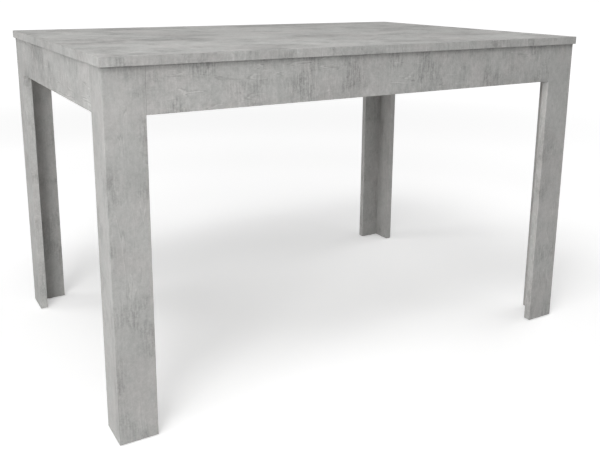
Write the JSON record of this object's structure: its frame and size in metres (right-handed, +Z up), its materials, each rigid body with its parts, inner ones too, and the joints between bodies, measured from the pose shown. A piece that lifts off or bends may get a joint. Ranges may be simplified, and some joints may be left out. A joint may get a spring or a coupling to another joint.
{
  "type": "extendable dining table",
  "caption": "Rectangular dining table in concrete-look board with L-shaped board legs, end frames that pull out on steel bars, and extension leaves stored under the top.",
  "frame": {"origin": "on the floor, under the middle of the top, with the table closed", "axes": "+X along the table's length, +Y across it towards the back, +Z up"},
  "size_m": [1.2, 0.8, 0.75],
  "materials": {
    "concrete_laminate": "matt melamine with a light grey concrete print",
    "concrete_edge_band": "matt edge band with the same print",
    "grey_board": "plain grey melamine board",
    "beech": "sanded, unfinished",
    "zinc_steel": "zinc plated",
    "painted_steel": "satin grey powder coat",
    "white_plastic": "moulded, matt",
    "black_plastic": "moulded, matt",
    "rubber": "soft, matt"
  },
  "bodies": {
    "fixed_frame": {"apron_dowels": "beech", "back_apron": "concrete_laminate", "back_left_corner_block": "beech", "back_left_leg_face": "concrete_laminate", "back_left_leg_side": "concrete_laminate", "back_right_corner_block": "beech", "back_right_leg_face": "concrete_laminate", "back_right_leg_side": "concrete_laminate", "corner_block_screws": "zinc_steel", "front_apron": "concrete_laminate", "front_left_corner_block": "beech", "front_left_leg_face": "concrete_laminate", "front_left_leg_side": "concrete_laminate", "front_right_corner_block": "beech", "front_right_leg_face": "concrete_laminate", "front_right_leg_side": "concrete_laminate", "guide_liners": "white_plastic", "guide_screws": "zinc_steel", "left_back_guide": "zinc_steel", "left_front_guide": "zinc_steel", "left_inner_rail": "grey_board", "left_storage_slat": "beech", "leg_dowels": "beech", "leg_glides": "white_plastic", "rail_screws": "zinc_steel", "right_back_guide": "zinc_steel", "right_front_guide": "zinc_steel", "right_inner_rail": "grey_board", "right_storage_slat": "beech", "slat_bracket_screws": "zinc_steel", "slat_brackets": "zinc_steel", "tabletop": "concrete_laminate", "tabletop_edge_bands": "concrete_edge_band", "tabletop_screws": "zinc_steel", "top_bracket_screws": "zinc_steel", "top_brackets": "zinc_steel"},
    "left_pullout": {"left_end_apron": "concrete_laminate", "left_front_bar": "painted_steel", "left_back_bar": "painted_steel", "left_bar_plugs": "black_plastic", "left_stop_bolts": "zinc_steel", "left_bar_screws": "zinc_steel"},
    "right_pullout": {"right_end_apron": "concrete_laminate", "right_front_bar": "painted_steel", "right_back_bar": "painted_steel", "right_bar_plugs": "black_plastic", "right_stop_bolts": "zinc_steel", "right_bar_screws": "zinc_steel"},
    "lower_leaf_stored": {"lower_leaf": "concrete_laminate", "lower_leaf_edge_bands": "concrete_edge_band", "lower_leaf_pads": "rubber", "lower_leaf_screws": "zinc_steel", "lower_leaf_tongues": "zinc_steel"},
    "upper_leaf_stored": {"upper_leaf": "concrete_laminate", "upper_leaf_edge_bands": "concrete_edge_band", "upper_leaf_pads": "rubber", "upper_leaf_screws": "zinc_steel", "upper_leaf_tongues": "zinc_steel"}
  },
  "joints": [
    {"name": "left_pullout_slide", "type": "slide", "parent": "fixed_frame", "child": "left_pullout", "axis": [-1, 0, 0], "range_m": [0, 0.4]},
    {"name": "right_pullout_slide", "type": "slide", "parent": "fixed_frame", "child": "right_pullout", "axis": [1, 0, 0], "range_m": [0, 0.4]},
    {"name": "lower_leaf_slide", "type": "slide", "parent": "fixed_frame", "child": "lower_leaf_stored", "axis": [1, 0, 0], "range_m": [-0.158, 0.158]},
    {"name": "upper_leaf_slide", "type": "slide", "parent": "fixed_frame", "child": "upper_leaf_stored", "axis": [1, 0, 0], "range_m": [-0.158, 0.158]}
  ]
}
